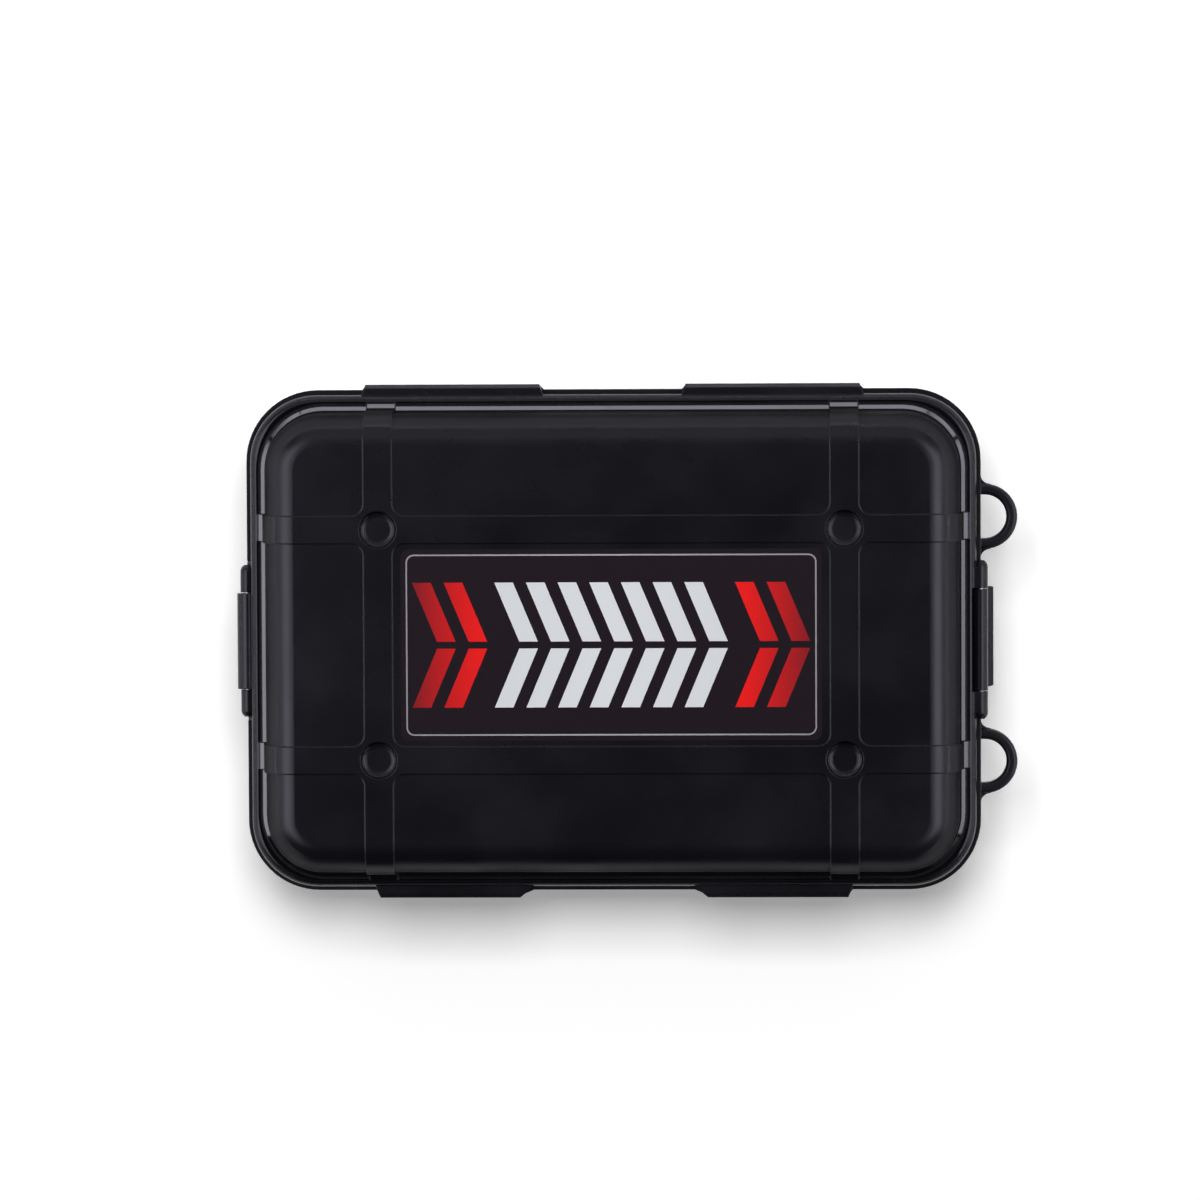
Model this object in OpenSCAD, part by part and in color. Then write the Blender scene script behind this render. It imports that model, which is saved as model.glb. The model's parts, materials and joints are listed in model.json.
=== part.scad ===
// Magnetic key holder box: a small hinged, gasketed case that four pot magnets hold to steel.
// It lies on its magnets with the lid up. X runs from the hinge side to the latch side.
// The origin is at the middle of the whole part's footprint, on the plane of the magnet faces.

/* [Rims] */
// Length of the base rim, from hinge side to latch side
rim_l = 108; // [106:1:120]
// Width of the base rim
rim_w = 73.8; // [73:0.2:84]
// Corner radius of the base rim
rim_r = 10.5; // [10:0.1:11.5]
// Thickness of each rim
rim_t = 2.8; // [2.6:0.1:3]
// How far the lid rim's edge lies inside the base rim's edge
rim_step = 0.7; // [0.6:0.05:0.8]
// Radius along the lid rim's upper edge
lid_rim_edge = 1.2; // [0.6:0.1:1.5]
// Radius along the base rim's lower edge
base_rim_edge = 0.8; // [0.4:0.1:1]

/* [Walls] */
// How far the rims stand out from the case walls
rim_out = 2.9; // [2.8:0.05:3]
// Corner radius of the case walls at the rims
case_r = 8.7; // [8.5:0.1:9.4]
// Wall thickness
wall = 2.3; // [2.2:0.05:2.4]
// Thickness of the lid top and the base floor
skin = 2.4; // [2:0.1:2.8]
// Height of the lid above the parting plane
lid_h = 12; // [11:0.5:16]
// Depth of the base below the parting plane
base_d = 18.3; // [17.5:0.1:22]
// Slope of the side walls, in degrees
draft = 3.5; // [2:0.5:4]
// Radius of the rounded edge between the walls and the flat faces
edge_r = 4.4; // [4:0.1:4.6]
// Width of the bevelled foot round each wall, where it meets its rim
foot_w = 0.6; // [0.5:0.05:0.7]
// Height of the bevelled foot above the rim
foot_h = 0.45; // [0.3:0.05:0.6]
// Width of the shadow groove in the lid rim, round the foot
shadow_w = 0.55; // [0.4:0.05:0.6]
// Depth of the shadow groove
shadow_d = 0.35; // [0.2:0.05:0.4]

/* [Raised bands] */
// Height of the bands above the case
band_h = 0.35; // [0.2:0.05:0.5]
// Width of the bands that run across the case
cross_band_w = 4.2; // [3:0.1:5]
// Width of the bands that run along the case
long_band_w = 4; // [3:0.1:5]
// Distance from an end of the base rim to the middle of the cross band beside it
cross_band_in = 20.1; // [19.6:0.1:20.3]
// Distance from a side of the base rim to the middle of the long band beside it
long_band_in = 20.1; // [19.6:0.1:20.3]
// Radius in the corners where bands meet
band_fillet = 1.8; // [1:0.1:2.4]
// Radius of the dimples where bands meet on the lid
dimple_r = 2.7; // [2.4:0.05:2.7]
// Radius of the dimple's flat floor
dimple_floor_r = 1.85; // [1.85:0.05:2.1]
// Depth of the dimples below the bands
dimple_d = 0.9; // [0.9:0.05:1.2]

/* [Seal] */
// Distance from the base rim's edge to the sealing tongue
tongue_in = 2.25; // [2.2:0.05:2.35]
// Width of the sealing tongue
tongue_w = 1; // [0.8:0.1:1.1]
// Height of the sealing tongue
tongue_h = 1; // [0.8:0.1:1.2]
// Space beside the tongue in the lid groove
tongue_clear = 0.35; // [0.3:0.01:0.38]
// Thickness of the gasket in the groove
gasket_t = 0.9; // [0.6:0.1:1]

/* [Hinge and latch pivots] */
// Distance of both pivot axes inside the base rim's edge
pivot_in = 0.1; // [0:0.05:0.15]
// Radius of the base knuckles and of the latch ears
knuckle_r = 1.1; // [1:0.05:1.15]
// Radius of the lid knuckle between the base knuckles
lid_knuckle_r = 1.6; // [1.5:0.05:1.65]
// Width over the base knuckles
hinge_w = 22.7; // [20:0.1:26]
// Width between the base knuckles
hinge_gap_w = 14.4; // [12:0.1:16]
// Radius of the hinge pin and the latch pin
pin_r = 0.55; // [0.5:0.05:0.6]
// Running clearance round the pins
pin_clear = 0.05; // [0.03:0.01:0.08]
// Clearance beside and round the knuckles and the lever
play = 0.15; // [0.12:0.01:0.2]

/* [Latch] */
// Width over the latch ears
latch_ears_w = 23.6; // [21.6:0.1:23.6]
// Width of the latch lever
latch_w = 14.9; // [13:0.1:15.5]
// Height of the latch pin above the parting plane
latch_lift = 1.4; // [1.3:0.05:1.5]
// How far the catch edge of the base rim is set back for the lever
catch_in = 0.5; // [0.45:0.05:0.6]
// How far the hook reaches under the catch edge
hook_bite = 0.7; // [0.5:0.05:0.8]
// Thickness of the hook at its root
hook_t = 1.4; // [1.2:0.1:1.8]
// Length of the lever below its pin
lever_l = 10; // [9:0.5:13]
// How far the finger lip stands out from the lever
lip_out = 1.1; // [0.6:0.05:1.3]
// Height of the finger lip
lip_h = 2; // [1.6:0.1:2.4]
// Radius of the lever's lower corners
lever_corner_r = 1.6; // [1:0.1:2]

/* [Lanyard loops] */
// Distance between the middles of the two loops
loop_pitch = 36; // [35.9:0.1:39]
// Outer radius of a loop
loop_r = 4.8; // [4.6:0.1:4.9]
// Width of a loop's bar
loop_bar_w = 1.6; // [1.3:0.05:1.7]
// Height of a loop's bar
loop_bar_h = 2.4; // [2:0.1:2.5]
// Distance from the rim's edge to the loop's centre
loop_out = 0.6; // [0.3:0.1:1]
// Radius of the flares at a loop's roots
loop_flare = 1.4; // [1:0.1:1.4]

/* [Side pads] */
// Distance between the middles of the two pads on a long side
pad_pitch = 47; // [46:0.5:49]
// Width of the back pads at their roots
back_pad_w = 26.7; // [24:0.1:27]
// How far the back pads stand out from the base rim
back_pad_out = 0.8; // [0.5:0.05:1]
// Run of the slopes at the back pads' ends
back_pad_slope = 0.6; // [0.4:0.05:1]
// Width of the front pads at their roots
front_pad_w = 23.3; // [20:0.1:25]
// How far the front pads stand out from the base rim
front_pad_out = 1; // [0.8:0.05:1.4]
// Run of the slopes at the front pads' outer ends
front_pad_outer_slope = 0.7; // [0.5:0.05:1.2]
// Run of the slopes at the front pads' inner ends
front_pad_inner_slope = 2; // [1.5:0.1:3]
// Width of the bevel along the pads' edges
pad_bevel_w = 0.55; // [0.3:0.05:0.6]
// Height of the bevel along the pads' edges
pad_bevel_h = 0.41; // [0.25:0.01:0.6]

/* [Magnets] */
// Distance from an end of the base rim to the middle of the magnet beside it
magnet_in_x = 19.6; // [19:0.1:21]
// Distance from a side of the base rim to the middle of the magnet beside it
magnet_in_y = 19.9; // [19:0.1:21.5]
// Radius of a magnet cup
cup_r = 8; // [7:0.5:9]
// Height of a magnet cup
cup_h = 5; // [4.5:0.1:6]
// Wall thickness of a magnet cup
cup_t = 1.5; // [1:0.1:1.6]
// Gap between ring magnet and cup wall
ring_gap = 0.15; // [0.1:0.05:0.3]
// How far the ring magnet's face lies inside the cup's rim
ring_in = 0.1; // [0.05:0.05:0.2]
// Depth of the seat that holds a cup in the base floor
seat_d = 0.8; // [0.5:0.1:1]
// Clearance between cup and seat
seat_clear = 0.1; // [0.05:0.01:0.2]

/* [Fasteners] */
// Radius of the screw thread
screw_r = 1.5; // [1.25:0.25:1.5]
// Radius of the countersunk screw head
screw_head_r = 2.9; // [2.6:0.1:3]
// Length of the screw, with its head
screw_l = 12; // [11:0.5:12]
// Radius of the hexagon socket in the screw head, over its corners
socket_r = 1.1; // [0.9:0.05:1.2]
// Depth of the hexagon socket
socket_d = 1; // [0.8:0.1:1.2]
// Clearance round the screw in cup, ring and floor
screw_clear = 0.15; // [0.1:0.01:0.3]
// How far the head lies inside the cup's rim
head_in = 0.35; // [0.25:0.05:0.5]
// Across-flats width of the nut
nut_w = 5.5; // [5:0.1:5.5]
// Height of the nut
nut_h = 2.4; // [2:0.1:2.6]
// Radius of the sealing washer
washer_r = 4; // [3.6:0.1:4.5]
// Thickness of the sealing washer
washer_t = 1; // [0.6:0.1:1.2]
// Radius of the raised boss under the washer
boss_r = 5; // [4.6:0.1:5.4]
// Height of the boss above the inner floor
boss_h = 0.8; // [0.5:0.1:1]

/* [Liners and label] */
// Thickness of the base foam
base_foam_t = 6; // [6:0.1:8]
// Thickness of the lid foam
lid_foam_t = 3; // [2:0.1:4]
// Gap between foam and walls
foam_gap = 0.3; // [0.2:0.1:0.5]
// Radius of the holes in the base foam round the nuts
foam_hole_r = 5.8; // [5.6:0.1:6.5]
// Length of the label
label_l = 61.2; // [50:0.2:61.4]
// Width of the label
label_w = 27.9; // [20:0.1:28.2]
// Corner radius of the label
label_r = 1.2; // [0.8:0.1:3]
// Thickness of the label
label_t = 0.15; // [0.1:0.05:0.25]
// Smallest gap between the label and the bands
label_gap = 0.2; // [0.1:0.05:0.4]

/* [Hidden] */
$fn = 64;
eps = 0.01;
over = 1;
pin_inset = 0.5;
notch_l = 4;
case_l = rim_l - 2 * rim_out;
case_w = rim_w - 2 * rim_out;
lid_rim_l = rim_l - 2 * rim_step;
lid_rim_w = rim_w - 2 * rim_step;
lid_rim_r = rim_r - rim_step;
floor_z = cup_h - seat_d;
part_z = floor_z + base_d;
inner_floor_z = floor_z + skin;
boss_z = inner_floor_z + boss_h;
rim_band = rim_out + wall / 2;
groove_in = tongue_in - tongue_clear;
groove_w = tongue_w + 2 * tongue_clear;
groove_d = tongue_h + gasket_t;
pivot_x = rim_l / 2 - pivot_in;
latch_z = part_z + latch_lift;
hinge_reach = pivot_x + lid_knuckle_r;
loop_x = rim_l / 2 + loop_out;
loop_reach = loop_x + loop_r;
middle_x = (loop_reach - hinge_reach) / 2;
lid_knuckle_w = hinge_gap_w - 2 * play;
ear_gap_w = latch_w + 2 * play;
hinge_pin_l = hinge_w - 2 * (pin_r + pin_inset);
latch_pin_l = latch_ears_w - 2 * (pin_r + pin_inset);
catch_x = rim_l / 2 - catch_in;
lever_in = catch_x + play - pivot_x;
hook_top = -(latch_lift + rim_t + play);
ring_r = cup_r - cup_t - ring_gap;
band_x = rim_l / 2 - cross_band_in;
band_y = rim_w / 2 - long_band_in;
fitted_label_l = min(label_l, 2 * (band_x - label_gap) - cross_band_w);
fitted_label_w = min(label_w, 2 * (band_y - label_gap) - long_band_w);
quarters = [[-1, -1], [1, -1], [-1, 1], [1, 1]];
dimple_places = [for (side = quarters) [side.x * band_x, side.y * band_y]];
magnet_places = [for (side = quarters)
    [side.x * (rim_l / 2 - magnet_in_x), side.y * (rim_w / 2 - magnet_in_y)]];

// Moves the case, drawn round the middle of its rims, to the middle of the whole footprint
module placed() {
    translate([-middle_x, 0, 0]) children();
}

// Sweeps a profile, drawn outward from a corner's centre, round a rounded rectangle
module swept_round(l, w, r) {
    for (x_side = [0, 1]) mirror([x_side, 0, 0]) {
        for (y_side = [0, 1]) mirror([0, y_side, 0])
            translate([l / 2 - r, w / 2 - r, 0]) rotate_extrude(angle = 90) children();
        translate([l / 2 - r, w / 2 - r, 0]) rotate([90, 0, 0]) linear_extrude(w - 2 * r) children();
    }
    for (y_side = [0, 1]) mirror([0, y_side, 0])
        translate([-(l / 2 - r), w / 2 - r, 0]) rotate([90, 0, 90]) linear_extrude(l - 2 * r) children();
}

// Rounds a length to a micron, so that a line and an arc that meet share their end point
function snapped(length) = round(length * 1000) / 1000;

// Section of a sloped wall with a rounded upper edge
module wall_profile(r, h, edge) {
    arc_x = snapped(r - edge - (h - edge) * tan(draft));
    arc_y = h - edge;
    polygon([[0, 0], [r, 0], [arc_x + edge, arc_y], [arc_x, arc_y], [arc_x, h], [0, h]]);
    translate([arc_x, arc_y]) intersection() {
        circle(edge);
        square(edge);
    }
}

// Box with rounded corners, sloped walls and a rounded upper edge, standing on z = 0
module sloped_box(l, w, r, h, edge) {
    swept_round(l, w, r) wall_profile(r, h, edge);
    translate([-(l / 2 - r), -(w / 2 - r), 0]) cube([l - 2 * r, w - 2 * r, h]);
}

// Outer form of a case half, grown outward by an amount
module case_form(h, grown = 0) {
    sloped_box(case_l + 2 * grown, case_w + 2 * grown, case_r + grown, h + grown, edge_r + grown);
}

// Inner form of a case half, shrunk from its walls by an amount
module cavity_form(h, shrunk = 0) {
    inset = wall + shrunk;
    sloped_box(case_l - 2 * inset, case_w - 2 * inset, case_r - inset, h, edge_r - inset);
}

// Bevelled foot of a case half's wall, rooted in the rim, grown outward by an amount
module wall_foot(grown = 0) {
    root = case_r - wall / 2;
    tip = case_r + foot_w + shadow_w / 2;
    slope = foot_h / foot_w;
    translate([0, 0, rim_t]) swept_round(case_l + 2 * grown, case_w + 2 * grown, case_r + grown)
        translate([grown, 0]) polygon([
            [root, -rim_t / 2], [tip, -rim_t / 2], [tip, -slope * shadow_w / 2],
            [root, slope * (foot_w + wall / 2)]
        ]);
}

// Space of the groove in the lid rim round the foot, left out where bands cross it
module shadow_groove() {
    difference() {
        swept_round(case_l, case_w, case_r)
            translate([case_r + foot_w, rim_t - shadow_d]) square([shadow_w, shadow_d + foot_h]);
        linear_extrude(2 * rim_t) band_plan();
    }
}

// Section of a rim, rounded along its outer upper edge
module rim_profile(r, edge) {
    translate([r - rim_band, 0]) square([rim_band - edge, rim_t]);
    translate([r - rim_band, 0]) square([rim_band, rim_t - edge]);
    translate([r - edge, rim_t - edge]) circle(edge);
}

// Plan of the crossed bands, with rounded inner corners where they meet
module band_plan() {
    half_cross = cross_band_w / 2;
    half_long = long_band_w / 2;
    for (side = [-1, 1]) {
        translate([side * band_x - half_cross, -rim_w / 2]) square([cross_band_w, rim_w]);
        translate([-rim_l / 2, side * band_y - half_long]) square([rim_l, long_band_w]);
    }
    for (place = dimple_places, x_turn = [0, 1], y_turn = [0, 1])
        translate([place.x, place.y]) mirror([x_turn, 0]) mirror([0, y_turn])
            translate([half_cross, half_long]) difference() {
                translate([-eps, -eps]) square(band_fillet + eps);
                translate([band_fillet, band_fillet]) circle(band_fillet);
            }
}

// Raised bands of a case half, from the rim upward
module bands(h) {
    intersection() {
        union() {
            case_form(h, band_h);
            wall_foot(band_h);
        }
        translate([0, 0, rim_t / 2]) linear_extrude(h) band_plan();
    }
}

// Cylinder along Y, centred
module y_bar(r, l) {
    rotate([90, 0, 0]) cylinder(r = r, h = l, center = true);
}

// Pair of knuckles on one axis along Y, with ball-shaped outer ends
module knuckle_pair(inner_w, outer_w) {
    bar_l = (outer_w - inner_w) / 2 - knuckle_r;
    for (side = [-1, 1]) {
        translate([0, side * (inner_w + bar_l) / 2, 0]) y_bar(knuckle_r, bar_l);
        translate([0, side * (outer_w / 2 - knuckle_r), 0]) sphere(knuckle_r);
    }
}

// Trapezoid pads at both ends of a long side at y = w / 2, bevelled along their outer upper edges
module pad_pair(w, pad_w, out, outer_slope, inner_slope, h) {
    root = rim_step + rim_out / 2;
    for (x_side = [0, 1]) mirror([x_side, 0, 0]) translate([pad_pitch / 2, w / 2, 0]) intersection() {
        linear_extrude(h) polygon([
            [pad_w / 2, -root], [pad_w / 2, 0], [pad_w / 2 - outer_slope, out],
            [-pad_w / 2 + inner_slope, out], [-pad_w / 2, 0], [-pad_w / 2, -root]
        ]);
        rotate([90, 0, 90]) linear_extrude(pad_w + over, center = true) polygon([
            [-root - over, -over], [out + pad_bevel_w, -over], [out + pad_bevel_w, h - 2 * pad_bevel_h],
            [out - 2 * pad_bevel_w, h + pad_bevel_h], [-root - over, h + pad_bevel_h]
        ]);
    }
}

// Section of a loop's bar
module loop_bar() {
    rounding = loop_bar_w / 3;
    square([loop_bar_w - 2 * rounding, loop_bar_h], center = true);
    square([loop_bar_w, loop_bar_h - 2 * rounding], center = true);
    for (x = [-1, 1], y = [-1, 1])
        translate([x * (loop_bar_w / 2 - rounding), y * (loop_bar_h / 2 - rounding)]) circle(rounding);
}

// D-shaped lanyard loop on the latch side, centred on y = 0 and z = 0
module lanyard_loop() {
    bar_r = loop_r - loop_bar_w / 2;
    leg_l = loop_out + rim_out / 2;
    flare_h = loop_bar_h - loop_bar_w / 2;
    translate([loop_x, 0, 0]) rotate([0, 0, -90]) rotate_extrude(angle = 180)
        translate([bar_r, 0]) loop_bar();
    for (side = [-1, 1]) {
        translate([loop_x - leg_l, side * bar_r, 0]) rotate([90, 0, 90]) linear_extrude(leg_l) loop_bar();
        translate([rim_l / 2, side * loop_r, 0]) mirror([0, side < 0 ? 1 : 0, 0])
            linear_extrude(flare_h, center = true) difference() {
                translate([-rim_out / 2, -loop_bar_w / 3])
                    square([loop_flare + rim_out / 2, loop_flare + loop_bar_w / 3]);
                translate([loop_flare, loop_flare]) circle(loop_flare);
            }
    }
}

// Lower half of the case, with tongue, hinge knuckles, catch, loops, pads and magnet seats
module base_shell() {
    pad_h = rim_t - base_rim_edge;
    color([0.10, 0.10, 0.115]) placed() difference() {
        union() {
            translate([0, 0, part_z]) rotate([180, 0, 0]) {
                case_form(base_d);
                wall_foot();
                bands(base_d);
                swept_round(rim_l, rim_w, rim_r) rim_profile(rim_r, base_rim_edge);
                pad_pair(rim_w, front_pad_w, front_pad_out - play,
                    front_pad_outer_slope, front_pad_inner_slope, pad_h);
                mirror([0, 1, 0]) pad_pair(rim_w, back_pad_w, back_pad_out - play,
                    back_pad_slope, back_pad_slope, pad_h);
            }
            translate([0, 0, part_z]) swept_round(rim_l, rim_w, rim_r)
                translate([rim_r - tongue_in - tongue_w, 0]) square([tongue_w, tongue_h]);
            translate([-pivot_x, 0, part_z]) knuckle_pair(hinge_gap_w, hinge_w);
            for (side = [-1, 1])
                translate([0, side * loop_pitch / 2, part_z - rim_t / 2]) lanyard_loop();
        }
        translate([0, 0, part_z]) rotate([180, 0, 0]) difference() {
            cavity_form(base_d - skin);
            for (place = magnet_places)
                translate([place.x, place.y, base_d - skin - boss_h])
                    cylinder(r = boss_r, h = boss_h + over);
        }
        translate([-pivot_x, 0, part_z]) {
            y_bar(lid_knuckle_r + play, hinge_gap_w);
            y_bar(pin_r, hinge_w + over);
            translate([2 * play - notch_l, -hinge_gap_w / 2, -rim_t - over])
                cube([notch_l, hinge_gap_w, rim_t + 2 * over]);
        }
        translate([catch_x, -ear_gap_w / 2, part_z - rim_t - over])
            cube([notch_l, ear_gap_w, rim_t + 2 * over]);
        for (place = magnet_places) translate([place.x, place.y, 0]) {
            cylinder(r = cup_r + seat_clear, h = cup_h);
            cylinder(r = screw_r + screw_clear, h = part_z);
        }
    }
}

// Upper half of the case, with gasket groove, hinge knuckle, latch ears, pads and dimples
module lid_shell() {
    pad_h = rim_t - lid_rim_edge / 2;
    color([0.11, 0.11, 0.125]) placed() translate([0, 0, part_z]) difference() {
        union() {
            case_form(lid_h);
            wall_foot();
            bands(lid_h);
            swept_round(lid_rim_l, lid_rim_w, lid_rim_r) rim_profile(lid_rim_r, lid_rim_edge);
            pad_pair(lid_rim_w, back_pad_w, rim_step + back_pad_out,
                back_pad_slope, back_pad_slope, pad_h);
            mirror([0, 1, 0]) pad_pair(lid_rim_w, front_pad_w, rim_step + front_pad_out,
                front_pad_outer_slope, front_pad_inner_slope, pad_h);
            translate([-pivot_x, 0, 0]) {
                y_bar(lid_knuckle_r, lid_knuckle_w);
                translate([2 * play, -lid_knuckle_w / 2, 0]) cube([rim_out / 2, lid_knuckle_w, pad_h]);
            }
            translate([pivot_x, 0, latch_lift]) knuckle_pair(ear_gap_w, latch_ears_w);
            for (side = [0, 1]) mirror([0, side, 0])
                translate([pivot_x - knuckle_r - rim_step, ear_gap_w / 2, latch_lift - knuckle_r])
                    cube([knuckle_r + rim_step, (latch_ears_w - ear_gap_w) / 2 - knuckle_r, 2 * knuckle_r]);
        }
        translate([0, 0, -eps]) cavity_form(lid_h - skin + eps);
        translate([0, 0, -eps]) swept_round(rim_l, rim_w, rim_r)
            translate([rim_r - groove_in - groove_w, 0]) square([groove_w, groove_d + eps]);
        translate([-pivot_x, 0, 0]) {
            y_bar(pin_r + pin_clear, hinge_w);
            for (side = [0, 1]) mirror([0, side, 0])
                translate([0, (hinge_w + lid_knuckle_w) / 4 + play, 0])
                    y_bar(knuckle_r + play, (hinge_w - lid_knuckle_w) / 2 + play);
        }
        translate([pivot_x, 0, latch_lift]) {
            y_bar(pin_r, latch_ears_w + over);
            translate([-knuckle_r - play, -ear_gap_w / 2, -rim_t]) cube([notch_l, ear_gap_w, 2 * rim_t]);
        }
        shadow_groove();
        for (place = dimple_places) translate([place.x, place.y, lid_h + band_h]) {
            translate([0, 0, -dimple_d]) cylinder(r = dimple_floor_r, h = dimple_d + over);
            rotate_extrude() translate([dimple_floor_r, 0]) circle(dimple_r - dimple_floor_r);
        }
    }
}

// Silicone seal that fills the groove above the tongue
module lid_gasket() {
    color([0.30, 0.30, 0.31]) placed() translate([0, 0, part_z]) swept_round(rim_l, rim_w, rim_r)
        translate([rim_r - groove_in - groove_w, tongue_h]) square([groove_w, gasket_t]);
}

// Pin through the hinge knuckles
module hinge_pin() {
    color([0.75, 0.75, 0.76]) placed() translate([-pivot_x, 0, part_z]) y_bar(pin_r, hinge_pin_l);
}

// Pin through the latch ears
module latch_pin() {
    color([0.75, 0.75, 0.76]) placed() translate([pivot_x, 0, latch_z]) y_bar(pin_r, latch_pin_l);
}

// Section of the latch lever's plate, lip and hook, with x outward and y upward from its pin
module lever_profile() {
    lip_top = lip_h - lever_l;
    lip_x = knuckle_r + lip_out;
    toe_x = knuckle_r - lip_out / 4;
    hook_x = lever_in - play - hook_bite;
    polygon([
        [lever_in, 0], [knuckle_r, 0], [knuckle_r, lip_top], [lip_x, lip_top - lip_out],
        [lip_x, -lever_l], [toe_x, -lever_l], [lever_in, lip_top],
        [lever_in, hook_top - hook_t], [hook_x, hook_top - hook_t / 2],
        [hook_x, hook_top], [lever_in, hook_top]
    ]);
}

// Face outline of the latch lever, with rounded lower corners
module lever_outline() {
    translate([-latch_w / 2, -lever_l + lever_corner_r]) square([latch_w, lever_l + knuckle_r]);
    translate([-latch_w / 2 + lever_corner_r, -lever_l]) square([latch_w - 2 * lever_corner_r, lever_l]);
    for (side = [-1, 1])
        translate([side * (latch_w / 2 - lever_corner_r), lever_corner_r - lever_l])
            circle(lever_corner_r);
}

// Lever that swings on the latch pin and hooks under the base rim
module latch_lever() {
    color([0.12, 0.12, 0.135]) placed() translate([pivot_x, 0, latch_z]) difference() {
        union() {
            y_bar(knuckle_r, latch_w);
            intersection() {
                rotate([90, 0, 0]) linear_extrude(latch_w, center = true) lever_profile();
                rotate([90, 0, 90]) linear_extrude(4 * knuckle_r, center = true) lever_outline();
            }
        }
        y_bar(pin_r + pin_clear, latch_w + over);
    }
}

// Printed label on the flat lid panel
module label() {
    color([0.75, 0.10, 0.10]) placed() translate([0, 0, part_z + lid_h]) linear_extrude(label_t) {
        square([fitted_label_l - 2 * label_r, fitted_label_w], center = true);
        square([fitted_label_l, fitted_label_w - 2 * label_r], center = true);
        for (side = quarters)
            translate([side.x * (fitted_label_l / 2 - label_r), side.y * (fitted_label_w / 2 - label_r)])
                circle(label_r);
    }
}

// Foam pad on the base floor, with holes round the nuts
module base_foam() {
    depth = base_d - skin;
    color([0.16, 0.16, 0.17]) placed() difference() {
        intersection() {
            translate([0, 0, part_z]) rotate([180, 0, 0]) cavity_form(depth, foam_gap);
            translate([-rim_l / 2, -rim_w / 2, inner_floor_z]) cube([rim_l, rim_w, base_foam_t]);
        }
        for (place = magnet_places)
            translate([place.x, place.y, floor_z]) cylinder(r = foam_hole_r, h = base_d);
    }
}

// Foam pad under the lid top
module lid_foam() {
    depth = lid_h - skin;
    color([0.16, 0.16, 0.17]) placed() translate([0, 0, part_z]) intersection() {
        cavity_form(depth, foam_gap);
        translate([-rim_l / 2, -rim_w / 2, depth - lid_foam_t]) cube([rim_l, rim_w, lid_foam_t]);
    }
}

// Plated steel cup of one magnet, open downward
module magnet_cup(place) {
    color([0.78, 0.78, 0.76]) placed() translate([place.x, place.y, 0]) difference() {
        cylinder(r = cup_r, h = cup_h);
        translate([0, 0, -eps]) cylinder(r = cup_r - cup_t, h = cup_h - cup_t + eps);
        cylinder(r = screw_r + screw_clear, h = cup_h + eps);
    }
}

// Cone under a countersunk head, from the head's face upward
module head_cone() {
    translate([0, 0, head_in])
        cylinder(r1 = screw_head_r, r2 = screw_r, h = screw_head_r - screw_r);
}

// Ring magnet in its cup, countersunk for the screw head
module ring_magnet(place) {
    color([0.62, 0.62, 0.64]) placed() translate([place.x, place.y, 0]) difference() {
        translate([0, 0, ring_in]) cylinder(r = ring_r, h = cup_h - cup_t - ring_in);
        cylinder(r = screw_r + screw_clear, h = cup_h);
        cylinder(r = screw_head_r, h = head_in);
        head_cone();
    }
}

// Countersunk screws, heads down, one through each magnet
module magnet_screws() {
    color([0.70, 0.70, 0.70]) placed() for (place = magnet_places)
        translate([place.x, place.y, 0]) difference() {
            union() {
                head_cone();
                translate([0, 0, head_in]) cylinder(r = screw_r, h = screw_l);
            }
            translate([0, 0, head_in - eps]) cylinder(r = socket_r, h = socket_d + eps, $fn = 6);
        }
}

// Hexagon nuts inside the base
module magnet_nuts() {
    color([0.72, 0.72, 0.70]) placed() for (place = magnet_places)
        translate([place.x, place.y, boss_z + washer_t]) difference() {
            cylinder(r = nut_w / 2 / cos(30), h = nut_h, $fn = 6);
            translate([0, 0, -over]) cylinder(r = screw_r, h = nut_h + 2 * over);
        }
}

// Rubber washers between the bosses and the nuts
module sealing_washers() {
    color([0.08, 0.08, 0.08]) placed() for (place = magnet_places)
        translate([place.x, place.y, boss_z]) difference() {
            cylinder(r = washer_r, h = washer_t);
            translate([0, 0, -over]) cylinder(r = screw_r + eps, h = washer_t + 2 * over);
        }
}

base_shell();
lid_shell();
lid_gasket();
hinge_pin();
latch_lever();
latch_pin();
label();
base_foam();
lid_foam();
for (i = [0 : 3]) {
    magnet_cup(magnet_places[i]);
    ring_magnet(magnet_places[i]);
}
magnet_screws();
magnet_nuts();
sealing_washers();
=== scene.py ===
"""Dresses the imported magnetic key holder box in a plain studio, seen as in the photograph."""

import json
import math

import bmesh
import bpy
from mathutils import Matrix, Vector, noise


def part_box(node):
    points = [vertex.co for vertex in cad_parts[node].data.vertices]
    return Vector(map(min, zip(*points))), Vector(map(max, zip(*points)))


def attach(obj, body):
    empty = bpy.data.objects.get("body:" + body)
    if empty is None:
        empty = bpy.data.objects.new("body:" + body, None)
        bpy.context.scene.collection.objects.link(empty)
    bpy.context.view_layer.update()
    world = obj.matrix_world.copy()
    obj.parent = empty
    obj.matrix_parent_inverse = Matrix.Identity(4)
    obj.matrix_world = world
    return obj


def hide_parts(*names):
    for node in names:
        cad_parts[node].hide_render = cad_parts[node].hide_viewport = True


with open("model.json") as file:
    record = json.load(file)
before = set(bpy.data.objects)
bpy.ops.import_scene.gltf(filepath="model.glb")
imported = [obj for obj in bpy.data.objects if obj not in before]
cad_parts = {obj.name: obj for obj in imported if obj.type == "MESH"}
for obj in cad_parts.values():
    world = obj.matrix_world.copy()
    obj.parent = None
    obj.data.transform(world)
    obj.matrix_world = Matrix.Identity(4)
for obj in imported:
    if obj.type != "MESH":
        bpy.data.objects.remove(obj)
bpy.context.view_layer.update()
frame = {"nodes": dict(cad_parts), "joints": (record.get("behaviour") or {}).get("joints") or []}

MM = 0.001
JOINTS = {joint["name"]: joint for joint in frame["joints"]}
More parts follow.
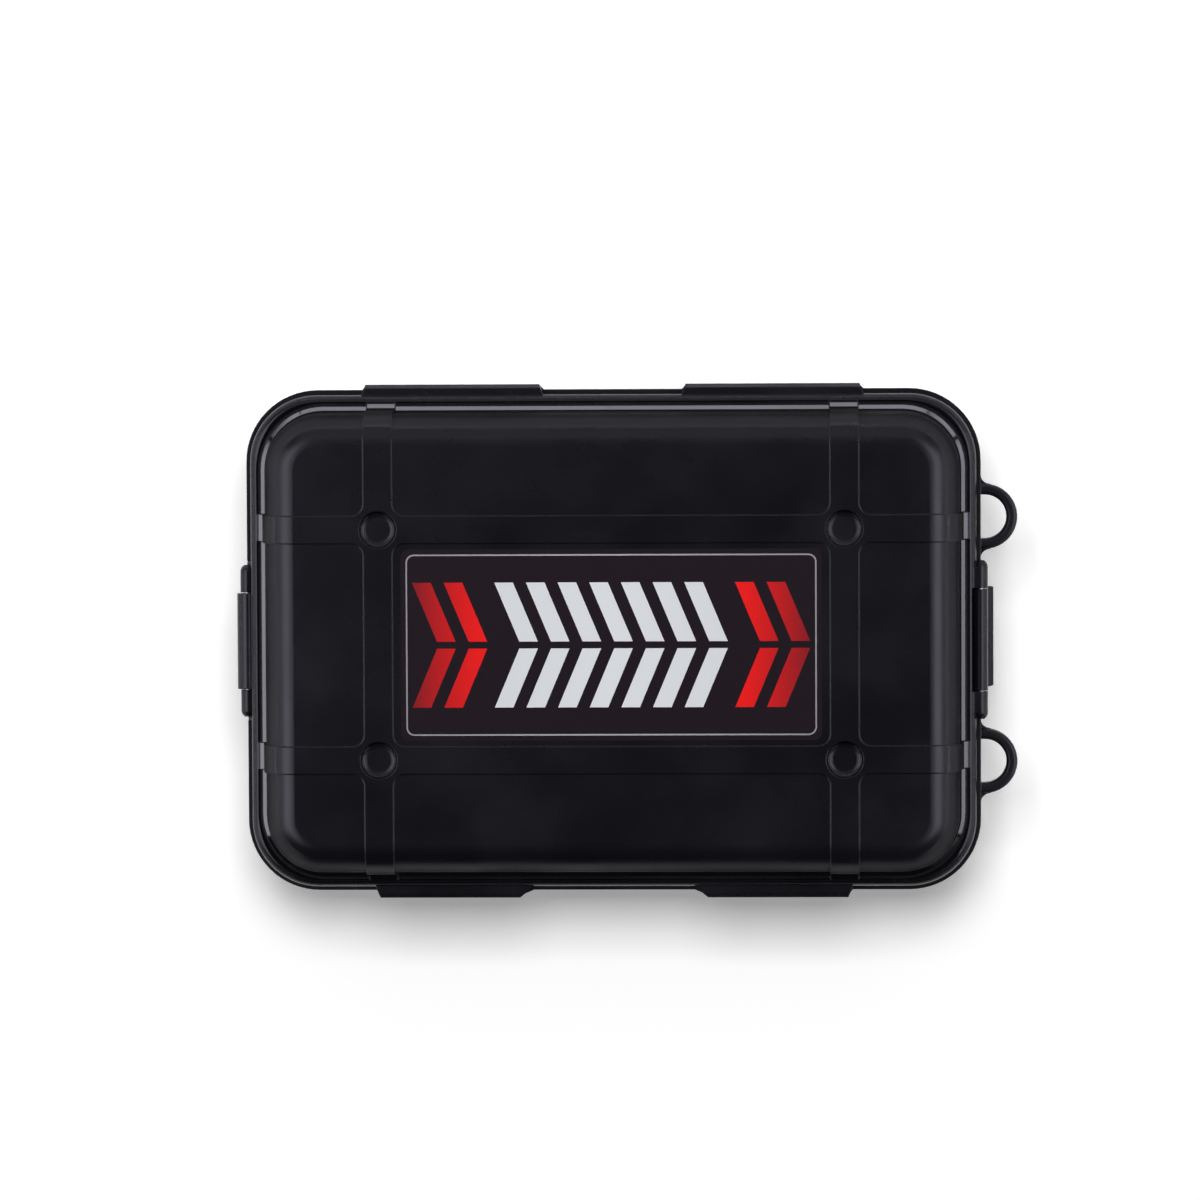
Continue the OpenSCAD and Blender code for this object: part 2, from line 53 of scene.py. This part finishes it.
HINGE = Vector(JOINTS["lid_hinge"]["pos_m"])
LATCH = Vector(JOINTS["latch_swing"]["pos_m"])
RIM_CENTRE = Vector(((HINGE.x + LATCH.x) / 2, 0, HINGE.z))


# ---------------------------------------------------------------- studio

# The photograph's frame, and where the middle of the base rim lies in it
IMAGE_PX = 1200
RIM_CENTRE_PX = (613.4, 640.0)
MM_PER_PX = 0.1472
CAMERA_DISTANCE = 0.9
CAMERA_BACK = math.radians(3.0)
CAMERA_RIGHT = math.radians(1.8)
CAMERA_ROLL = math.radians(-0.25)
CAMERA_CLIP = 0.01
SENSOR_MM = 36

# Every lamp hangs this far from the middle of the rims, in metres
LAMP_DISTANCE = 1.0

# The floor's colour, and its own white for the eye and for reflections: weak near the case, where
# it leaves the shadow, and full beyond the reach of the lamps. Distances in metres.
FLOOR_HALF = 12.0
FLOOR_COLOUR = (0.93, 0.93, 0.93, 1)
NEAR_DISTANCE, NEAR_GLOW = 0.3, 0.3
FAR_DISTANCE, FAR_GLOW = 1.2, 0.95


def add_camera():
    """Camera almost square to the lid, leaning a little to the back and to the latch side."""
    frame_width = IMAGE_PX * MM_PER_PX * MM
    aside = (IMAGE_PX / 2 - RIM_CENTRE_PX[0]) * MM_PER_PX * MM
    up = (RIM_CENTRE_PX[1] - IMAGE_PX / 2) * MM_PER_PX * MM
    target = RIM_CENTRE + Vector((aside, up, 0))
    back = Vector((math.tan(CAMERA_RIGHT), math.tan(CAMERA_BACK), 1)).normalized()
    right = Vector((0, 1, 0)).cross(back).normalized()
    top = back.cross(right)
    turn = Matrix((right, top, back)).transposed().to_4x4() @ Matrix.Rotation(CAMERA_ROLL, 4, "Z")
    data = bpy.data.cameras.new("camera")
    data.sensor_width = SENSOR_MM
    data.lens = SENSOR_MM * CAMERA_DISTANCE / frame_width
    data.clip_start = CAMERA_CLIP
    camera = bpy.data.objects.new("camera", data)
    camera.matrix_world = Matrix.Translation(target + back * CAMERA_DISTANCE) @ turn
    bpy.context.scene.collection.objects.link(camera)
    bpy.context.scene.camera = camera


def add_softbox(name, azimuth, elevation, size, power, glossy=True, diffuse=True):
    """Soft rectangular lamp that looks at the middle of the case from a direction in degrees.

    Azimuth 0 is the latch side and 90 the back. Without glossy the lamp leaves no highlights,
    and without diffuse it leaves nothing else.
    """
    az = math.radians(azimuth)
    el = math.radians(elevation)
    way = Vector((math.cos(az) * math.cos(el), math.sin(az) * math.cos(el), math.sin(el)))
    data = bpy.data.lights.new(name, "AREA")
    data.shape = "RECTANGLE"
    data.size, data.size_y = size
    data.energy = power
    lamp = bpy.data.objects.new(name, data)
    turn = way.to_track_quat("Z", "Y").to_matrix().to_4x4()
    lamp.matrix_world = Matrix.Translation(RIM_CENTRE + way * LAMP_DISTANCE) @ turn
    lamp.visible_glossy = glossy
    lamp.visible_diffuse = diffuse
    bpy.context.scene.collection.objects.link(lamp)


def add_world(level):
    """Even, weak fill light."""
    world = bpy.data.worlds.new("studio")
    world.use_nodes = True
    background = world.node_tree.nodes["Background"]
    background.inputs["Color"].default_value = (1, 1, 1, 1)
    background.inputs["Strength"].default_value = level
    bpy.context.scene.world = world


def add_floor():
    """White floor that keeps the case's shadow and stays white where the lamps don't reach."""
    data = bpy.data.meshes.new("floor")
    corners = [(x * FLOOR_HALF, y * FLOOR_HALF, 0) for x, y in ((-1, -1), (1, -1), (1, 1), (-1, 1))]
    data.from_pydata(corners, [], [(0, 1, 2, 3)])
    floor = bpy.data.objects.new("floor", data)
    bpy.context.scene.collection.objects.link(floor)
    material = bpy.data.materials.new("floor_white")
    material.use_nodes = True
    tree = material.node_tree
    paint = tree.nodes["Principled BSDF"]
    paint.inputs["Base Color"].default_value = FLOOR_COLOUR
    paint.inputs["Roughness"].default_value = 0.9
    paint.inputs["Specular IOR Level"].default_value = 0.1
    place = tree.nodes.new("ShaderNodeTexCoord")
    distance = tree.nodes.new("ShaderNodeVectorMath")
    distance.operation = "LENGTH"
    tree.links.new(place.outputs["Object"], distance.inputs[0])
    glow = tree.nodes.new("ShaderNodeMapRange")
    glow.inputs["From Min"].default_value = NEAR_DISTANCE
    glow.inputs["From Max"].default_value = FAR_DISTANCE
    glow.inputs["To Min"].default_value = NEAR_GLOW
    glow.inputs["To Max"].default_value = FAR_GLOW
    tree.links.new(distance.outputs["Value"], glow.inputs["Value"])
    path = tree.nodes.new("ShaderNodeLightPath")
    seen = path.outputs["Is Camera Ray"]
    for ray in ("Is Glossy Ray", "Is Transmission Ray"):
        either = tree.nodes.new("ShaderNodeMath")
        either.operation = "MAXIMUM"
        tree.links.new(seen, either.inputs[0])
        tree.links.new(path.outputs[ray], either.inputs[1])
        seen = either.outputs[0]
    scale = tree.nodes.new("ShaderNodeMath")
    scale.operation = "MULTIPLY"
    tree.links.new(glow.outputs["Result"], scale.inputs[0])
    tree.links.new(seen, scale.inputs[1])
    glow_shader = tree.nodes.new("ShaderNodeEmission")
    add = tree.nodes.new("ShaderNodeAddShader")
    tree.links.new(scale.outputs[0], glow_shader.inputs["Strength"])
    tree.links.new(paint.outputs["BSDF"], add.inputs[0])
    tree.links.new(glow_shader.outputs["Emission"], add.inputs[1])
    tree.links.new(add.outputs["Shader"], tree.nodes["Material Output"].inputs["Surface"])
    data.materials.append(material)


# ---------------------------------------------------------------- material tools

# Case plastic: the sheen of the panel, and how much of it the lid's wall lacks
PLASTIC_SPECULAR = 0.36
WALL_SPECULAR_LOSS = 0.26
PLASTIC_TINT = (0.88, 0.86, 1.0, 1)
EDGE_RADIUS = 0.22 * MM
BEVEL_SAMPLES = 8

# Roughness of the polished foot, as a share of the panel's
FOOT_POLISH = 0.38

# Where the bevelled foot of each dome lies, above and below the parting plane
FOOT_MIDDLE = 3.02 * MM
FOOT_HALF = 0.24 * MM

# The wall above it is dull up to the one height and gets as smooth as the panel at the other
WALL_FOOT = 3.3 * MM
WALL_LOW = 9.3 * MM
WALL_HIGH = 11.5 * MM


class Paint:
    """A Principled material under construction, with short calls for the nodes that it uses."""

    def __init__(self, name, roughness, metallic=0.0, specular=0.5):
        self.material = bpy.data.materials.new(name)
        self.material.use_nodes = True
        self.tree = self.material.node_tree
        self.shader = self.tree.nodes["Principled BSDF"]
        self.shader.inputs["Roughness"].default_value = roughness
        self.shader.inputs["Metallic"].default_value = metallic
        self.shader.inputs["Specular IOR Level"].default_value = specular
        self.place = self.tree.nodes.new("ShaderNodeTexCoord").outputs["Object"]

    def feed(self, socket, value):
        """Links a socket to another one, or sets it to a plain value or a colour of three numbers."""
        if isinstance(value, bpy.types.NodeSocket):
            self.tree.links.new(value, socket)
        elif socket.type == "RGBA":
            socket.default_value = (*value, 1)
        else:
            socket.default_value = value

    def node(self, kind, **inputs):
        """New node whose named sockets are fed; an underscore stands for a space in a name."""
        node = self.tree.nodes.new(kind)
        for key, value in inputs.items():
            self.feed(node.inputs[key.replace("_", " ")], value)
        return node

    def moved(self, location=(0, 0, 0), scale=(1, 1, 1)):
        """Object coordinates in metres, moved so that location is the origin, then scaled."""
        node = self.node("ShaderNodeMapping", Vector=self.place)
        node.inputs["Location"].default_value = [-l * s for l, s in zip(location, scale)]
        node.inputs["Scale"].default_value = scale
        return node.outputs["Vector"]

    def noise(self, size, detail=3.0, vector=None):
        """Noise from 0 to 1 whose grains are about size metres across."""
        where = vector or self.place
        node = self.node("ShaderNodeTexNoise", Vector=where, Scale=1 / size, Detail=detail)
        return node.outputs["Fac"]

    def math(self, operation, a, b=0.0, c=0.0):
        node = self.tree.nodes.new("ShaderNodeMath")
        node.operation = operation
        for socket, value in zip(node.inputs, (a, b, c)):
            self.feed(socket, value)
        return node.outputs[0]

    def between(self, value, low_in, high_in, low_out, high_out):
        node = self.node("ShaderNodeMapRange", Value=value)
        node.inputs["From Min"].default_value = low_in
        node.inputs["From Max"].default_value = high_in
        node.inputs["To Min"].default_value = low_out
        node.inputs["To Max"].default_value = high_out
        return node.outputs["Result"]

    def blend(self, factor, first, second):
        """Colour mix of two colours or colour sockets."""
        node = self.tree.nodes.new("ShaderNodeMix")
        node.data_type = "RGBA"
        self.tree.links.new(factor, node.inputs["Factor"])
        self.feed(node.inputs[6], first)
        self.feed(node.inputs[7], second)
        return node.outputs[2]

    def colour(self, value):
        self.feed(self.shader.inputs["Base Color"], value)

    def rough(self, value):
        self.tree.links.new(value, self.shader.inputs["Roughness"])

    def bump(self, layers, rounded=0.0):
        """Bump layers of (height socket, height in metres), over edges softened by a radius."""
        normal = None
        if rounded:
            bevel = self.tree.nodes.new("ShaderNodeBevel")
            bevel.samples = BEVEL_SAMPLES
            bevel.inputs["Radius"].default_value = rounded
            normal = bevel.outputs["Normal"]
        for height, depth in layers:
            node = self.node("ShaderNodeBump", Height=height, Distance=depth, Strength=1.0)
            if normal:
                self.tree.links.new(normal, node.inputs["Normal"])
            normal = node.outputs["Normal"]
        self.tree.links.new(normal, self.shader.inputs["Normal"])


def moulded_plastic(name, dark, light, roughness, dull_wall=1.0, faded_wall=False):
    """Satin black moulding with faint flow clouds and a polished foot.

    Its wall is dull_wall times as rough as the panel, and faded_wall takes most of its sheen.
    """
    paint = Paint(name, roughness, specular=PLASTIC_SPECULAR)
    paint.shader.inputs["Specular Tint"].default_value = PLASTIC_TINT
    clouds = paint.noise(14 * MM, 4)
    paint.colour(paint.blend(paint.between(clouds, 0.3, 0.7, 0, 1), dark, light))
    satin = paint.between(clouds, 0.3, 0.7, roughness - 0.04, roughness + 0.04)
    height = paint.node("ShaderNodeSeparateXYZ", Vector=paint.moved((0, 0, HINGE.z))).outputs["Z"]
    above = paint.math("ABSOLUTE", height)
    in_foot = paint.math("COMPARE", above, FOOT_MIDDLE, FOOT_HALF)
    foot = paint.between(in_foot, 0, 1, 1, FOOT_POLISH)
    on_wall = paint.math("GREATER_THAN", above, WALL_FOOT)
    wall = paint.between(above, WALL_LOW, WALL_HIGH, dull_wall - 1, 0)
    dull = paint.math("MULTIPLY_ADD", on_wall, wall, 1.0)
    paint.rough(paint.math("MULTIPLY", paint.math("MULTIPLY", satin, foot), dull))
    if faded_wall:
        loss = paint.between(above, WALL_LOW, WALL_HIGH, -WALL_SPECULAR_LOSS, 0)
        specular = paint.math("ADD", paint.math("MULTIPLY", on_wall, loss), PLASTIC_SPECULAR)
        paint.tree.links.new(specular, paint.shader.inputs["Specular IOR Level"])
    paint.bump([(paint.noise(14 * MM, 1), 0.012 * MM)], rounded=EDGE_RADIUS)
    return paint.material


def rubber(name, colour, roughness):
    """Matt rubber with a fine bloom."""
    paint = Paint(name, roughness, specular=0.35)
    bloom = paint.noise(2.5 * MM, 5)
    pale = tuple(c * 1.5 + 0.01 for c in colour)
    paint.colour(paint.blend(paint.between(bloom, 0.35, 0.7, 0, 1), colour, pale))
    paint.rough(paint.between(bloom, 0.3, 0.7, roughness - 0.08, roughness + 0.08))
    paint.bump([(paint.noise(0.12 * MM, 2), 0.008 * MM)], rounded=0.1 * MM)
    return paint.material


def drawn_steel(name, colour, roughness, along):
    """Drawn wire or turned steel: fine lines along one axis."""
    paint = Paint(name, roughness, metallic=1.0)
    scale = [60, 60, 60]
    scale["xyz".index(along)] = 2
    lines = paint.noise(3 * MM, 3, paint.moved(scale=scale))
    paint.colour(paint.blend(lines, colour, tuple(c * 0.75 for c in colour)))
    paint.rough(paint.between(lines, 0.3, 0.7, roughness - 0.08, roughness + 0.1))
    paint.bump([(lines, 0.004 * MM)], rounded=0.08 * MM)
    return paint.material


def turned_plating(name, colour, roughness, centre):
    """Bright plated face with fine turning rings round one centre, and a few dull clouds."""
    paint = Paint(name, roughness, metallic=1.0)
    flat = paint.moved(centre, (1, 1, 0))
    rings = paint.node("ShaderNodeTexWave", Vector=flat, Scale=900.0, Distortion=0.6)
    rings.wave_type = "RINGS"
    rings.rings_direction = "SPHERICAL"
    cloud = paint.noise(4 * MM, 4)
    scuffs = paint.noise(0.8 * MM, 4, paint.moved(scale=(1, 7, 1)))
    dull = tuple(c * 0.82 for c in colour)
    paint.colour(paint.blend(paint.between(cloud, 0.4, 0.75, 0, 1), colour, dull))
    paint.rough(paint.between(scuffs, 0.45, 0.7, roughness - 0.04, roughness + 0.14))
    paint.bump([(rings.outputs["Fac"], 0.0015 * MM)], rounded=0.25 * MM)
    return paint.material


def open_foam(name, dark, light):
    """Open-cell foam: tiny cells with thin walls, each cell's hollow painted darker than its walls as
    painted shade in the pores.
    """
    paint = Paint(name, 0.95, specular=0.15)
    cells = paint.tree.nodes.new("ShaderNodeTexVoronoi")
    cells.feature = "DISTANCE_TO_EDGE"
    cells.inputs["Scale"].default_value = 1 / (0.45 * MM)
    paint.tree.links.new(paint.place, cells.inputs["Vector"])
    wall = paint.between(cells.outputs["Distance"], 0.0, 0.22, 0, 1)
    # Painted shade: the colour runs from the light cell walls into dark cell hollows, standing in for
    # the shade in the pores.
    paint.colour(paint.blend(wall, light, dark))
    paint.bump([(wall, -0.12 * MM), (paint.noise(3 * MM, 3), 0.15 * MM)])
    paint.shader.inputs["Sheen Weight"].default_value = 0.25
    return paint.material


def label_print():
    """Glossy film with a near-black ground and a faint screen grain."""
    paint = Paint("label_ground", 0.3, specular=0.22)
    grain = paint.noise(0.25 * MM, 2)
    paint.colour(paint.blend(grain, (0.0108, 0.0058, 0.0106), (0.0122, 0.0069, 0.0119)))
    return paint.material


def label_ink(name, near, far, near_mm, far_mm):
    """Ink that fades from one colour to another with the distance from the label's middle line."""
    paint = Paint(name, 0.28, specular=0.2)
    split = paint.node("ShaderNodeSeparateXYZ", Vector=paint.moved((RIM_CENTRE.x, 0, 0)))
    away = paint.math("ABSOLUTE", split.outputs["X"])
    fade = paint.between(away, near_mm * MM, far_mm * MM, 0, 1)
    grain = paint.between(paint.noise(0.22 * MM, 2), 0.35, 0.65, -0.05, 0.05)
    paint.colour(paint.blend(paint.math("ADD", fade, grain), near, far))
    paint.bump([(paint.noise(0.3 * MM, 2), 0.003 * MM)])
    return paint.material


# ---------------------------------------------------------------- label print


def prism_piece(name, outlines, low, high, material):
    """One mesh of flat prisms, each from an outline of (x, y) points in metres, anticlockwise."""
    mesh = bmesh.new()
    for outline in outlines:
        bottom = [mesh.verts.new((x, y, low)) for x, y in outline]
        top = [mesh.verts.new((x, y, high)) for x, y in outline]
        count = len(outline)
        mesh.faces.new(top)
        mesh.faces.new(list(reversed(bottom)))
        for i in range(count):
            j = (i + 1) % count
            mesh.faces.new((bottom[i], bottom[j], top[j], top[i]))
    data = bpy.data.meshes.new(name)
    mesh.to_mesh(data)
    mesh.free()
    data.materials.append(material)
    piece = bpy.data.objects.new(name, data)
    bpy.context.scene.collection.objects.link(piece)
    return piece


def rounded_outline(centre, half_l, half_w, radius, steps=8):
    """Points of a rounded rectangle, anticlockwise."""
    points = []
    for turn, (sx, sy) in enumerate(((1, 1), (-1, 1), (-1, -1), (1, -1))):
        for step in range(steps + 1):
            angle = math.radians(90 * turn + 90 * step / steps)
            x = centre[0] + sx * (half_l - radius) + radius * math.cos(angle)
            y = centre[1] + sy * (half_w - radius) + radius * math.sin(angle)
            points.append((x, y))
    return points


def border_outlines(centre, half_l, half_w, radius, line):
    """A thin rounded border as a row of short quads."""
    outer = rounded_outline(centre, half_l, half_w, radius)
    inner = rounded_outline(centre, half_l - line, half_w - line, radius - line)
    count = len(outer)
    following = [(i + 1) % count for i in range(count)]
    return [[inner[i], outer[i], outer[j], inner[j]] for i, j in enumerate(following)]


def slanted_bars(columns, pitch, width, height, slant, gap, centre):
    """Herringbone of slanted bars in two mirrored rows, one pair per column number."""
    outlines = []
    for column in columns:
        x = centre[0] + column * pitch
        near, far = gap / 2, gap / 2 + height
        upper = [(x - width / 2 + slant / 2, near), (x + width / 2 + slant / 2, near),
                 (x + width / 2 - slant / 2, far), (x - width / 2 - slant / 2, far)]
        lower = [(px, -py) for px, py in reversed(upper)]
        outlines += [[(px, py + centre[1]) for px, py in row] for row in (upper, lower)]
    return outlines


def dress_label():
    """Border line and a herringbone band: white in the middle, red towards both ends."""
    low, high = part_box("label")
    centre = ((low.x + high.x) / 2, (low.y + high.y) / 2)
    half_l = (high.x - low.x) / 2
    half_w = (high.y - low.y) / 2
    film = 0.02 * MM
    surface = high.z
    frame["nodes"]["label"].material_slots[0].material = label_print()
    border = border_outlines(centre, half_l - 0.75 * MM, half_w - 0.75 * MM, 1.2 * MM, 0.22 * MM)
    bar = {"pitch": 4.6 * MM, "width": 2.7 * MM, "height": 8.6 * MM, "slant": 3.6 * MM,
           "gap": 1.0 * MM, "centre": centre}
    white = slanted_bars(range(-3, 4), **bar)
    red = slanted_bars([-5.6, -4.6, 4.6, 5.6], **bar)
    # Piece, outlines, ink, its colours near the middle and far out, and where in mm it fades
    prints = (
        ("label_border", border, "ink_silver", (0.42, 0.42, 0.44), (0.30, 0.30, 0.32), 5, 31),
        ("label_white_bars", white, "ink_white", (0.76, 0.78, 0.82), (0.72, 0.74, 0.78), 0, 20),
        ("label_red_bars", red, "ink_red", (0.90, 0.012, 0.012), (0.24, 0.012, 0.018), 19, 29),
    )
    for name, outlines, *ink in prints:
        piece = prism_piece(name, outlines, surface, surface + film, label_ink(*ink))
        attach(piece, "lid")


# ---------------------------------------------------------------- foam pads


# Voxel size of a pad's mesh
FOAM_VOXEL = 0.75 * MM

# Uneven lumps on a pad's face, and the share of its thickness that stays as it was cut
FOAM_LUMP = 0.12 * MM
FOAM_LUMP_SIZE = 6 * MM
FOAM_STILL = 0.4


def foam_piece(node, body, material, outward, wave, pitch):
    """Soft pad in place of a CAD foam solid, with a shallow egg-crate face towards the hollow.

    outward is 1 where that face looks up and -1 where it looks down.
    """
    source = frame["nodes"][node]
    low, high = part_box(node)
    piece = bpy.data.objects.new(node + "_pad", source.data.copy())
    bpy.context.scene.collection.objects.link(piece)
    remesh = piece.modifiers.new("even", "REMESH")
    remesh.mode = "VOXEL"
    remesh.voxel_size = FOAM_VOXEL
    smooth = piece.modifiers.new("soft", "SMOOTH")
    smooth.iterations = 3
    smooth.factor = 0.5
    bpy.context.view_layer.update()
    evaluated = piece.evaluated_get(bpy.context.evaluated_depsgraph_get())
    data = bpy.data.meshes.new_from_object(evaluated)
    piece.modifiers.clear()
    piece.data = data
    centre = (low + high) / 2
    thickness = high.z - low.z
    for vertex in data.vertices:
        p = vertex.co
        depth = ((p.z - low.z) if outward > 0 else (high.z - p.z)) / thickness
        across = math.cos(2 * math.pi * (p.x - centre.x) / pitch)
        along = math.cos(2 * math.pi * (p.y - centre.y) / pitch)
        crate = 0.5 + 0.25 * (across + along)
        lumps = FOAM_LUMP * noise.noise(p / FOAM_LUMP_SIZE)
        share = max(0.0, depth - FOAM_STILL) / (1 - FOAM_STILL)
        p.z -= outward * share * (wave * (1 - crate) + lumps + FOAM_LUMP)
    for polygon in data.polygons:
        polygon.use_smooth = True
    data.materials.clear()
    data.materials.append(material)
    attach(piece, body)
    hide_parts(node)


# ---------------------------------------------------------------- the object's materials


def paint_node(node, material):
    for material_slot in frame["nodes"][node].material_slots:
        material_slot.material = material


SHELL_COLOURS = (0.0026, 0.0025, 0.0040), (0.0040, 0.0037, 0.0057)


def dress_nodes():
    base_black = moulded_plastic("base_black", *SHELL_COLOURS, 0.3, dull_wall=1.6)
    lid_black = moulded_plastic("lid_black", *SHELL_COLOURS, 0.27, dull_wall=2.9, faded_wall=True)
    latch_black = moulded_plastic("latch_black", *SHELL_COLOURS, 0.28)
    paint_node("base_shell", base_black)
    paint_node("lid_shell", lid_black)
    paint_node("latch_lever", latch_black)
    paint_node("lid_gasket", rubber("gasket_silicone", (0.12, 0.12, 0.125), 0.6))
    paint_node("sealing_washers", rubber("washer_black", (0.015, 0.015, 0.015), 0.7))
    paint_node("hinge_pin", drawn_steel("hinge_pin_steel", (0.62, 0.62, 0.63), 0.3, "y"))
    paint_node("latch_pin", drawn_steel("latch_pin_steel", (0.62, 0.62, 0.63), 0.3, "y"))
    paint_node("magnet_screws", drawn_steel("screw_steel", (0.55, 0.55, 0.56), 0.28, "z"))
    paint_node("magnet_nuts", drawn_steel("nut_steel", (0.60, 0.59, 0.56), 0.32, "z"))
    for number in range(1, 5):
        low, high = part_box(f"magnet_cup_{number}")
        centre = (low + high) / 2
        cup_plating = turned_plating(f"cup_plating_{number}", (0.66, 0.63, 0.57), 0.2, centre)
        ring_plating = turned_plating(f"ring_plating_{number}", (0.56, 0.56, 0.57), 0.3, centre)
        paint_node(f"magnet_cup_{number}", cup_plating)
        paint_node(f"ring_magnet_{number}", ring_plating)


# Strip lamps for the bright line on the polished foot: azimuth, elevation, size in metres, watts
STRIPS = {
    "strip_right_back": (45, 15, (0.56, 0.06), 0.85),
    "strip_left_back": (135, 15, (0.56, 0.06), 0.85),
    "strip_left_front": (225, 15, (0.56, 0.06), 0.5),
    "strip_right_front": (315, 15, (0.56, 0.06), 0.5),
    "strip_back": (90, 17, (1.0, 0.06), 1.5),
    "strip_hinge": (180, 11, (0.9, 0.06), 1.4),
    "strip_latch": (0, 15, (0.9, 0.06), 1.4),
}

# Broad lamps for the soft band on the shoulders of the short sides
SIDE_LAMPS = {
    "side_hinge": (180, 57, (0.72, 0.5), 3.6),
    "side_latch": (0, 57, (0.72, 0.5), 3.6),
    "low_hinge": (180, 32, (0.9, 0.4), 1.5),
    "low_latch": (0, 32, (0.9, 0.4), 1.1),
}

FILL_LEVEL = 0.06

add_camera()
add_world(FILL_LEVEL)
add_floor()
add_softbox("key_top", 90, 74, (0.36, 0.36), 7.6, glossy=False)
add_softbox("key_back", 90, 50, (1.2, 0.7), 1.6)
for lamp_name, lamp in (SIDE_LAMPS | STRIPS).items():
    add_softbox(lamp_name, *lamp, diffuse=False)
dress_nodes()
dress_label()
# The darker colour is painted shade for the foam's pores, the lighter one its cell walls.
foam = open_foam("liner_foam_grey", (0.018, 0.018, 0.019), (0.075, 0.075, 0.078))
foam_piece("base_foam", "base", foam, outward=1, wave=1.2 * MM, pitch=11 * MM)
foam_piece("lid_foam", "lid", foam, outward=-1, wave=0.9 * MM, pitch=11 * MM)

bpy.context.scene.view_settings.view_transform = "Standard"
